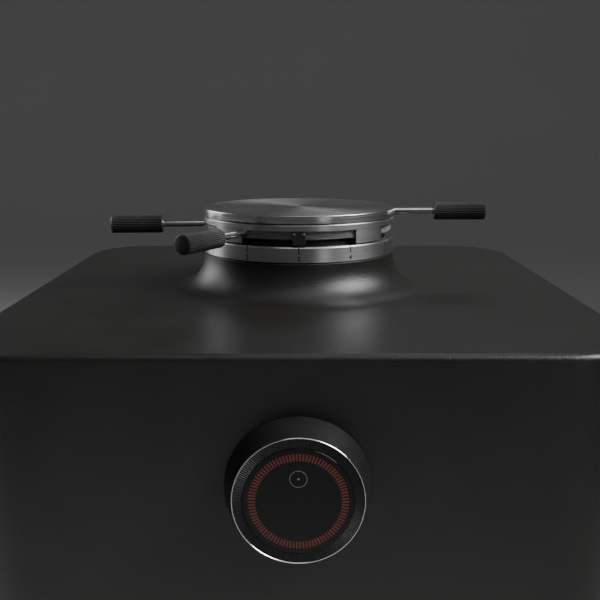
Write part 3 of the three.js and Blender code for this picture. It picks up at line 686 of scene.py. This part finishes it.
# ------------------------------------------------------------------ rear cover, inlet and switch
def rear_cover():
    """A vented plate with wells for its screws and holes for the inlet and the switch."""
    front, size = HALF - WALL, COVER_SIZE - 2 * GAP
    cover = make("rear_cover_look", *panel(0, COVER_Z, size, size, front, HALF, 1.2, 0.5), PLASTIC)
    start, end, seat = front - 1, HALF + 1, HALF - 2
    lowest, pitch, width, height = 121.5, 8, 90, 3
    cuts = [panel(0, lowest + pitch * i, width, height, start, end, 1.45) for i in range(VENTS)]
    for x, z, w, h in (INLET, SWITCH):
        cuts.append(panel(x, z, w + 2 * GAP, h + 2 * GAP, start, end, 0.3))
    well = [(0, start), (1.8, start), (1.8, seat), (3.3, seat), (3.3, end), (0, end)]
    for x, z in COVER_SCREWS:
        cuts.append(placed(Matrix.Translation((x, 0, z)) @ BACKWARDS, lathe(well, 40)))
    cut_on_frame(cover, [make("cover_cuts", *gather(cuts), None)])
    stand_for(cover, "black_plastic", "rear_cover")


def rear_screws():
    """Pan heads with a cross recess, on short shanks."""
    seat = HALF - 1.7
    profile = [
        (0, seat - 9), (1.5, seat - 9), (1.5, seat), (3, seat),
        (3, seat + 0.8), (2.5, seat + 1.25), (1.4, seat + 1.4), (0, seat + 1.4),
    ]
    low, high = seat + 0.4, seat + 3
    bars = [block((-w, -d, low), (w, d, high)) for w, d in ((1.5, 0.3), (0.3, 1.5))]
    for i, (x, z) in enumerate(COVER_SCREWS, 1):
        place = Matrix.Translation((x, 0, z)) @ BACKWARDS
        screw = make(f"rear_screw_{i}_look", *lathe(ease(profile, 0.2), 48), STEEL, place=place)
        cut_on_frame(screw, [make("recess", *bar, None, place=place) for bar in bars])
        stand_for(screw, "polished_steel", f"rear_screw_{i}")


def power_inlet():
    """A hollow socket with three pins."""
    x, z, w, h = INLET
    body = make("power_inlet_look", *panel(x, z, w, h, HALF - 24, HALF - 0.2, 0.6, 0.35), PLASTIC)
    mouth = make("mouth", *panel(x, z, w - 5, h - 5, HALF - 17, HALF + 1, 2.2), None)
    cut_on_frame(body, [mouth])
    stand_for(body, "black_plastic", "power_inlet")
    spots = ((-6, -1.5), (0, 2), (6, -1.5))
    pins = [panel(x + dx, z + dz, 2, 4, HALF - 17.2, HALF - 8, 0.4, 0.4) for dx, dz in spots]
    obj = make("inlet_pins", *gather(pins), STEEL, "frame")
    stand_for(obj, "polished_steel")


def switch():
    """A frame, and the rocker in it with its two marks."""
    x, z, w, h = SWITCH
    body = make("switch_frame_look", *panel(x, z, w, h, HALF - 16, HALF - 0.2, 0.8, 0.4), PLASTIC)
    room = make("room", *panel(x, z, w - 3, h - 3, HALF - 12, HALF + 1, 0.3), None)
    cut_on_frame(body, [room])
    stand_for(body, "black_plastic", "switch_frame")
    # The rocker's two dished faces meet over its pivot
    half = 8.8
    face = []
    for i in range(17):
        t = i / 8 - 1
        face.append((half * t, 4.0 + 0.9 * (1 - abs(t)) - 0.25 * math.sin(math.pi * abs(t))))
    outline = [(-2, -3), (2, -3), (half, 2)] + face[::-1] + [(-half, 2)]
    loops = []
    for height, pull in ((-5, 0.25), (-4.75, 0), (4.75, 0), (5, 0.25)):
        loops.append([(px * (1 - pull / 9), py - pull * (1 if py > 3 else 0), height) for px, py in outline])
    place = Matrix.Translation((x, HALF - 6, z)) @ Matrix.Rotation(math.radians(9), 4, "Z")
    obj = make("power_rocker_look", *loft(loops), PLASTIC, "rocker", place=place)
    stand_for(obj, "black_plastic", "power_rocker")
    ring = lathe([(1.15, 4.02), (1.5, 4.02), (1.5, 4.19), (1.15, 4.19)], 40)
    flip = Matrix.Translation((4.9, 0, 0)) @ BACKWARDS
    bar = block((-5.1, 4.02, -1.4), (-4.7, 4.19, 1.4))
    obj = make("rocker_marks", *gather([placed(flip, ring), bar]), PRINT, "rocker", smooth=0, place=place)
    stand_for(obj, "black_plastic")


# ------------------------------------------------------------------ spout, mat and cup
def spout_and_cup():
    place = Matrix.Translation((0, SPOUT_Y, 0))
    profile = [
        (11, HEAD - 24), (13, HEAD - 24), (16.5, HEAD - 4), (16.5, HEAD + 3.3),
        (21, HEAD + 3.3), (21, HEAD + 6.7), (13.5, HEAD + 6.7), (13.5, HEAD - 4),
    ]
    obj = make("spout_look", *lathe(ease(profile, 0.5)), ANODISED, "frame", place=place, weighted=True)
    stand_for(obj, "black_anodised", "spout")
    low, high = BASE_TOP + GAP, BASE_TOP + 2.0
    profile = [(0, low), (30, low), (30, high), (27.6, high)]
    for i in range(9):
        r = 27.0 - 2.6 * i
        profile += [(r, high - 0.5), (r - 0.9, high - 0.5), (r - 1.5, high), (r - 2.0, high)]
    obj = make("cup_mat_look", *lathe(ease(profile + [(0, high)], 0.2)), RUBBER, "frame", place=place)
    stand_for(obj, "rubber", "cup_mat")
    foot, lip = 20.3, 95.3
    profile = [
        (0, foot), (25.2, foot), (27.05, foot + 1.8), (29, lip),
        (27.5, lip), (25.6, foot + 5.5), (22.8, foot + 2), (0, foot + 2),
    ]
    obj = make("dosing_cup_look", *lathe(ease(profile, 1.3)), SATIN, "cup", place=place, weighted=True)
    stand_for(obj, "satin_aluminium", "dosing_cup")


housing()
head_floor()
base()
rear_cover()
rear_screws()
power_inlet()
switch()
spout_and_cup()


# ------------------------------------------------------------------ scale ring, wheel and lid
def arc_block(r0, r1, arc, z0, z1, at_angle, edge=0.25, steps=14):
    """A curved block with slightly eased vertical ends and lower edge."""
    loops = []
    half = math.radians(arc / 2)
    for z, cut in ((z0, edge), (z0 + edge, 0), (z1, 0)):
        loop = []
        for r, direction in ((r1 - cut, 1), (r0, -1)):
            for i in range(steps + 1):
                t = direction * (2 * i / steps - 1)
                a = math.radians(at_angle) + t * (half - cut / r1)
                pull = edge if abs(t) > 0.999 and r > r0 else 0
                loop.append(((r - pull) * math.cos(a), (r - pull) * math.sin(a), z))
        loops.append(loop)
    return loft(loops)


def on_ring(x, z, r, centre):
    """A point of flat artwork wrapped round the ring. x is to the reader's right."""
    a = math.radians(centre) + x / RING_R
    return (r * math.cos(a), r * math.sin(a), z)


def digit_mesh(text, height):
    """The text's outline as a flat mesh, centred, in millimetres."""
    curve = bpy.data.curves.new("digits", "FONT")
    curve.body = text
    curve.align_x = "CENTER"
    curve.size = height / 0.72  # a digit is 0.72 of the size high
    curve.resolution_u = 6
    curve.offset = 0.045  # thickens the strokes
    obj = bpy.data.objects.new("digits", curve)
    bpy.context.scene.collection.objects.link(obj)
    depsgraph = bpy.context.evaluated_depsgraph_get()
    mesh = bpy.data.meshes.new_from_object(obj.evaluated_get(depsgraph))
    verts = [tuple(v.co) for v in mesh.vertices]
    faces = [tuple(p.vertices) for p in mesh.polygons]
    bpy.data.objects.remove(obj)
    bpy.data.curves.remove(curve)
    bpy.data.meshes.remove(mesh)
    return verts, faces


def thick(verts, faces, back, front, wrap):
    """Flat artwork given thickness between two radii, and wrapped."""
    n = len(verts)
    points = [wrap(x, y, r) for r in (back, front) for x, y, _ in verts]
    used = {}
    made = []
    for face in faces:
        made.append(tuple(i + n for i in face))
        made.append(tuple(reversed(face)))
        for a, b in zip(face, face[1:] + face[:1]):
            key = (min(a, b), max(a, b))
            used.setdefault(key, []).append((a, b))
    for sides in used.values():
        if len(sides) == 1:
            a, b = sides[0]
            made.append((a, b, b + n, a + n))
    return points, made


def scale_ring():
    """The ring, with twelve numbered ticks 30 degrees apart."""
    z0, z1 = TOP + 16.6, TOP + 23.3
    chamfer = 0.5
    profile = [
        (40.0, z0), (RING_R - 0.2, z0), (RING_R, z0 + 0.2),
        (RING_R, z1 - chamfer), (RING_R - chamfer, z1), (40.0, z1),
    ]
    ring = make("scale_ring_look", *lathe(profile, 240), SATIN, "frame", smooth=25)
    stand_for(ring, "satin_aluminium", "scale_ring")
    rows = (z1 - 2.8, z1 - chamfer, z1 - 0.03)
    tick = ([(x, z, 0) for z in rows for x in (-0.24, 0.24)], [(0, 1, 3, 2), (2, 3, 5, 4)])
    marks = []
    for number in range(1, 13):
        centre = -90 + 30 * (number - 3)
        digits, faces = digit_mesh(str(number), DIGIT_HEIGHT)
        digits = [(x, y + z0 + 0.75, 0) for x, y, _ in digits]

        def wrap(x, z, r, centre=centre):
            """Follows the ring's face and, above it, its chamfer."""
            return on_ring(x, z, r - max(0, z - z1 + chamfer), centre)

        for art in (tick, (digits, faces)):
            marks.append(thick(*art, RING_R - 0.3, RING_R + MARK_RISE, wrap))
    obj = make("scale_marks", *gather(marks), ENGRAVING, "frame", smooth=0)
    stand_for(obj, "black_anodised")


def wheel():
    """The flange with its four lugs, and the threaded band and sleeve behind them."""
    z_flange, z_top, z_band = TOP + 29.9, TOP + 32.6, TOP + 26.4
    flange = [
        (30.5, z_flange), (RING_R - 0.2, z_flange), (RING_R, z_flange + 0.2),
        (RING_R, z_top - 0.35), (RING_R - 0.35, z_top), (30.9, z_top), (30.5, z_top - 0.4),
    ]
    parts = [lathe(flange, 240)]
    for angle in (45, 135, 225, 315):
        parts.append(arc_block(40.6, RING_R - 0.1, 22, TOP + 24, z_flange + 0.01, angle))
    crown = make("wheel_crown", *gather(parts), SATIN, "wheel", smooth=25)
    stand_for(crown, "satin_aluminium", "adjusting_wheel")
    # The threaded band and sleeve under the flange
    inner, root, crest = 33.0, 42.15, 42.6
    profile = [(inner, TOP - 18), (35.9, TOP - 18), (35.9, z_band)]
    z = z_band
    pitch = 0.58
    while z < z_flange - pitch:
        profile += [(root, z), (crest, z + 0.2), (crest, z + 0.36), (root, z + 0.56)]
        z += pitch
    profile += [(root, z_flange), (inner, z_flange)]
    band = make("wheel_band", *lathe(profile, 200), THREAD, "wheel", smooth=35)
    stand_for(band, "black_anodised")


def index_pointer():
    """A small plate under the flange, held by two screws at its top corners."""
    front, back = 0.1 - RING_R, 1.1 - RING_R
    half, z0, z1 = 2.8, TOP + 24.0, TOP + 29.6
    corner, edge = 0.5, 0.18
    loops = []
    for y, d in ((back, 0), (front + edge, 0), (front, edge)):
        outline = plan(-half + d, half - d, z0 + d, z1 - d, corner, corner, 5, 2)
        loops.append([(x, y, z) for x, z in outline])
    plate = make("index_pointer_look", *loft(loops), GRIP, "wheel")
    stand_for(plate, "burr_steel", "index_pointer")
    dome = [(0, RING_R - 0.4), (0.55, RING_R - 0.4), (0.55, RING_R - 0.08), (0.4, RING_R - 0.02), (0, RING_R)]
    spots = (-2.0, 2.0)
    heads = [placed(Matrix.Translation((x, 0, z1 - 0.8)) @ FRONTWARDS, lathe(dome, 24)) for x in spots]
    screws = make("pointer_screws", *gather(heads), STEEL, "wheel")
    stand_for(screws, "polished_steel")


def lid():
    """A turned disc."""
    z0, z1 = TOP + 32.9, TOP + 36.5
    profile = [
        (0, z0), (RING_R - 0.3, z0), (RING_R, z0 + 0.3),
        (RING_R, z1 - 0.3), (RING_R - 0.12, z1 - 0.08), (RING_R - 0.4, z1),
    ]
    profile += [(r, z1) for r in (42, 36, 28, 20, 12, 6, 2, 0)]
    disc = make("lid_look", *lathe(profile, 240), LID_METAL, "lid", smooth=60, weighted=True)
    stand_for(disc, "satin_aluminium", "lid_disc")


def neck_insides():
    """What shows through the windows, and in the mouth once the lid is off. Heights are from the ground."""
    top = TOP + 25.4
    collar = [(36.2, 256), (46, 256), (46, 262), (39.3, 262), (39.3, top - 0.8), (38.5, top), (36.2, top)]
    z = TOP + 24
    plug = [(6, z), (25, z), (28, z + 3), (28, z + 8.6), (3.1, z + 8.6), (3.1, z + 3), (6, z + 3)]
    gasket = [
        (28.3, z + 4.6), (30.2, z + 4.6), (29.5, z + 5.7), (30.2, z + 6.3),
        (29.5, z + 7.0), (30.2, z + 8), (28.3, z + 8),
    ]
    funnel = [(15, 245.1), (16.5, 245.1), (28.7, 289), (28.7, 295), (27.2, 295), (27.2, 289.5)]
    carrier = [(16, 236.8), (32.7, 236.8), (32.7, 300), (29, 300), (29, 244.8), (16, 244.8)]
    made = {}
    for node, profile, material, slot_name, body in (
        ("neck_collar", collar, ANODISED, "black_anodised", "frame"),
        ("lid_plug", plug, PLASTIC, "black_plastic", "plug"),
        ("lid_gasket", gasket, RUBBER, "rubber", "plug"),
        ("feed_funnel", funnel, PLASTIC, "black_plastic", "burr_carrier"),
        ("upper_burr_carrier", carrier, CAST, "cast_aluminium", "burr_carrier"),
    ):
        whole = node != "upper_burr_carrier"
        made[node] = make(f"{node}_look", *lathe(ease(profile), 128), material, body, weighted=whole)
        stand_for(made[node], slot_name, node)
    carrier = made["upper_burr_carrier"]
    keyways = gather([block((30.7, -2.4, 245), (40, 2.4, 256)), block((-40, -2.4, 245), (-30.7, 2.4, 256))])
    boolean(carrier, [make("keyways", *keyways, None)], "DIFFERENCE")
    tidy(carrier.data)


def lever(name, body, angle, z):
    """A rod screwed in the rim, and a ribbed grip with a bright end ring on its near end."""
    place = (Matrix.Rotation(math.radians(angle), 4, "Z") @ Matrix.Translation((0, 0, z))
             @ Matrix.Rotation(math.pi / 2, 4, "Y"))
    rod = [(0, 38), (0.8, 38), (0.8, 44.3), (1.25, 44.3), (1.4, 44.5), (1.4, 80), (1.2, 80.5), (0, 80.5)]
    obj = make(f"{name}_rod_look", *lathe(rod, 48), STEEL, body, place=place)
    stand_for(obj, "polished_steel", f"{name}_rod")
    # Each rib has a flat crown and a groove beside it, and the ribs run out at the grip's ends
    x0, x1, r = GRIP_START, GRIP_END, GRIP_R
    rib = [0, 0, 0, -0.10, -0.30, -0.34, -0.30, -0.10]
    count = GRIP_RIBS * len(rib)
    stations = [
        (x0, 1.75, 0), (x0, 3.55, 0), (x0 + 0.1, 3.7, 0), (x0 + 0.4, r, 0.1), (x0 + 0.9, r, 1),
        (x1 - 0.9, r, 1), (x1 - 0.4, r, 0.1), (x1 - 0.1, 3.7, 0), (x1, 3.55, 0),
    ]
    loops = []
    for x, outer, share in stations:
        loop = []
        for i in range(count):
            a = 2 * math.pi * i / count
            radius = outer + rib[i % len(rib)] * share
            loop.append((radius * math.cos(a), radius * math.sin(a), x))
        loops.append(loop)
    obj = make(f"{name}_grip_look", *loft(loops), GRIP, body, smooth=40, place=place)
    stand_for(obj, "black_anodised", f"{name}_grip")
    start, end = x0 - 0.02, x0 + 0.3
    ring = [(1.75, start), (2.75, start), (2.85, x0 + 0.1), (2.75, end), (1.75, end)]
    obj = make(f"{name}_end_ring", *lathe(ring, 48), STEEL, body, place=place)
    stand_for(obj, "polished_steel")


scale_ring()
wheel()
index_pointer()
lid()
for name, body, angle, height in (
    ("wheel_left", "wheel", 184, 28.7),
    ("wheel_front", "wheel", 239, 28.7),
    ("lid", "lid", 0, 34.2),
):
    lever(name, body, angle, TOP + height)
neck_insides()


# ------------------------------------------------------------------ control dial
def tooth_ring(r0, r1, floor_z):
    """A ring whose front slopes up outwards and is cut in fine teeth."""
    verts = []
    for i in range(DIAL_TEETH):
        for share, rise in ((0.0, -0.12), (0.3, 0.13), (0.5, 0.13), (0.8, -0.12)):
            a = 2 * math.pi * (i + share) / DIAL_TEETH
            for r, z in ((r0, RIM_FRONT - 0.45), (r1, RIM_FRONT - 0.3)):
                verts.append((r * math.cos(a), r * math.sin(a), z + rise))
    low = len(verts)
    faces = [(i, (i + 2) % low, (i + 3) % low, i + 1) for i in range(0, low, 2)]
    sides = []
    for a, b, c, d in faces:
        sides.append((low + a, low + b, b, a))
        sides.append((d, c, low + c, low + d))
        sides.append((low + d, low + c, low + b, low + a))
    return verts + [(x, y, floor_z) for x, y, _ in verts], faces + sides


def dial():
    """The conical knob, its bright rim and the fine teeth inside the rim."""
    back, front, shoulder = HALF + 0.5, RIM_FRONT - 1.3, HALF + 7
    base_r, lip, seat = 25.1, GLASS_R + 0.3, RIM_R + 0.03
    wall = RIM_FRONT - 0.25
    knob = [
        (DIAL_BORE_R, back), (base_r - 0.3, back), (base_r, back + 0.3), (RIM_R + 0.16, wall), (seat, wall),
        (seat, front), (lip, front), (lip, shoulder), (DIAL_BORE_R, shoulder),
    ]
    obj = make("dial_knob_look", *lathe(knob, 200), ANODISED, "dial", smooth=18, place=DIAL)
    stand_for(obj, "black_anodised", "dial_knob")
    inner = RIM_R - RIM_WIDTH
    rim = [
        (inner, RIM_FRONT - 1), (RIM_R, RIM_FRONT - 1), (RIM_R, RIM_FRONT - 0.15),
        (RIM_R - 0.12, RIM_FRONT), (inner + 0.12, RIM_FRONT), (inner, RIM_FRONT - 0.15),
    ]
    obj = make("dial_rim_look", *lathe(rim, 240), STEEL, "dial", smooth=35, place=DIAL)
    stand_for(obj, "polished_steel", "dial_rim")
    teeth = tooth_ring(lip + 0.02, inner - 0.02, front - 0.4)
    obj = make("dial_teeth", *teeth, ENGRAVING, "dial", smooth=20, place=DIAL)
    stand_for(obj, "black_anodised")


def display():
    """The glass, a ring of red marks in it, and a plain ring and dot above its middle."""
    front = RIM_FRONT - 0.2
    edge = GLASS_R + 0.2
    glass = [(0, front - 1.5), (edge, front - 1.5), (edge, front - 0.06), (edge - 0.06, front), (0, front)]
    obj = make("display_look", *lathe(glass, 200), DISPLAY, "display", smooth=35, place=DIAL)
    stand_for(obj, "display_glass", "display_glass")
    half, r0, r1, face = 0.30, 14.0, 16.4, front + PRINT_RISE
    sides = [(0, 3, 2, 1), (4, 5, 6, 7), (0, 1, 5, 4), (1, 2, 6, 5), (2, 3, 7, 6), (3, 0, 4, 7)]
    marks = []
    for degrees in range(0, 360, 4):
        a = math.radians(degrees)
        u = Vector((math.cos(a), math.sin(a), 0))
        v = Vector((-math.sin(a), math.cos(a), 0)) * half
        corners = [u * r0 - v, u * r1 - v, u * r1 + v, u * r0 + v]
        marks.append(([(*c.xy, z) for z in (front - 0.3, face) for c in corners], sides))
    obj = make("display_marks", *gather(marks), RED, "display", smooth=0, place=DIAL)
    stand_for(obj, "display_glass")
    inner, outer, dot_r, back = 2.8 - 0.09, 2.8 + 0.09, 0.35, front - 0.2
    ring = lathe([(inner, back), (outer, back), (outer, face), (inner, face)], 64)
    dot = lathe([(0, back), (dot_r, back), (dot_r, face), (0, face)], 32)
    lift = Matrix.Translation((0, 7.8, 0))
    symbol = gather([placed(lift, ring), placed(lift, dot)])
    obj = make("display_symbol", *symbol, PRINT, "display", smooth=0, place=DIAL)
    stand_for(obj, "display_glass")


dial()
display()


# ------------------------------------------------------------------ stage, light and camera
# From here on lengths are in metres
LENS = 50.1
CAMERA_AT = (0.0005, AXIS_Y * MM - 0.390, (TOP + 73.5) * MM)
CAMERA_DOWN = 11.84     # degrees below level
NECK = (0, 0, 0.28)             # what most lights are aimed at
FACE_CORNER = (0.14, -0.1, 0.11)
WORLD_STRENGTH = 0.10


def sweep_pale():
    s = Shader("sweep_pale", (0.70, 0.70, 0.69), 0.9)
    s.tint(s.noise(3, 2), (0.6895, 0.6895, 0.67965), (0.70, 0.70, 0.69))
    return s.mat


def floor():
    """A pale sweep: the floor curves up into a backdrop behind the machine."""
    front_y, turn_y, r, top, half, steps = -4.0, 2.2, 1.2, 6.0, 6.0, 24
    profile = [(front_y, 0.0), (turn_y, 0.0)]
    for i in range(1, steps + 1):
        a = math.pi / 2 * i / steps
        profile.append((turn_y + r * math.sin(a), r * (1 - math.cos(a))))
    profile.append((turn_y + r, top))
    verts = [(x, y, z) for y, z in profile for x in (-half, half)]
    faces = [(2 * i, 2 * i + 1, 2 * i + 3, 2 * i + 2) for i in range(len(profile) - 1)]
    mesh = bpy.data.meshes.new("sweep")
    mesh.from_pydata(verts, [], faces)
    mesh.shade_smooth()
    mesh.materials.append(sweep_pale())
    obj = bpy.data.objects.new("sweep", mesh)
    bpy.context.scene.collection.objects.link(obj)


def area(name, location, target, size, power, spread):
    """A softbox that the camera doesn't see. Spread is in degrees, as with a grid in front of it."""
    light = bpy.data.lights.new(name, "AREA")
    light.shape = "RECTANGLE"
    light.size, light.size_y = size
    light.energy = power
    light.spread = math.radians(spread)
    obj = bpy.data.objects.new(name, light)
    obj.location = location
    direction = Vector(target) - Vector(location)
    obj.rotation_euler = direction.to_track_quat("-Z", "Y").to_euler()
    obj.visible_camera = False
    bpy.context.scene.collection.objects.link(obj)


def world():
    """A weak even light from all round."""
    made = bpy.data.worlds.new("studio")
    bpy.context.scene.world = made
    made.use_nodes = True
    background = made.node_tree.nodes["Background"]
    background.inputs["Color"].default_value = (0.80, 0.81, 0.82, 1)
    background.inputs["Strength"].default_value = WORLD_STRENGTH


def camera():
    data = bpy.data.cameras.new("camera")
    data.lens = LENS
    data.sensor_width = 36
    data.clip_start = 0.01
    obj = bpy.data.objects.new("camera", data)
    obj.location = CAMERA_AT
    obj.rotation_euler = (math.radians(90 - CAMERA_DOWN), 0, 0)
    bpy.context.scene.collection.objects.link(obj)
    bpy.context.scene.camera = obj


floor()
world()
area("key_right", (0.90, -0.21, 1.16), NECK, (1.3, 0.8), 5.0, 50)
area("overhead", (0.20, -0.15, 1.45), NECK, (1.1, 0.8), 2.3, 180)
area("side_left", (-0.95, 0.56, 0.60), NECK, (0.75, 1.0), 1.15, 60)
area("front_right", (0.66, -1.00, 0.10), FACE_CORNER, (0.6, 0.25), 0.028, 22)
area("back_high", (0.24, 0.86, 1.15), NECK, (0.6, 0.4), 0.10, 50)
camera()
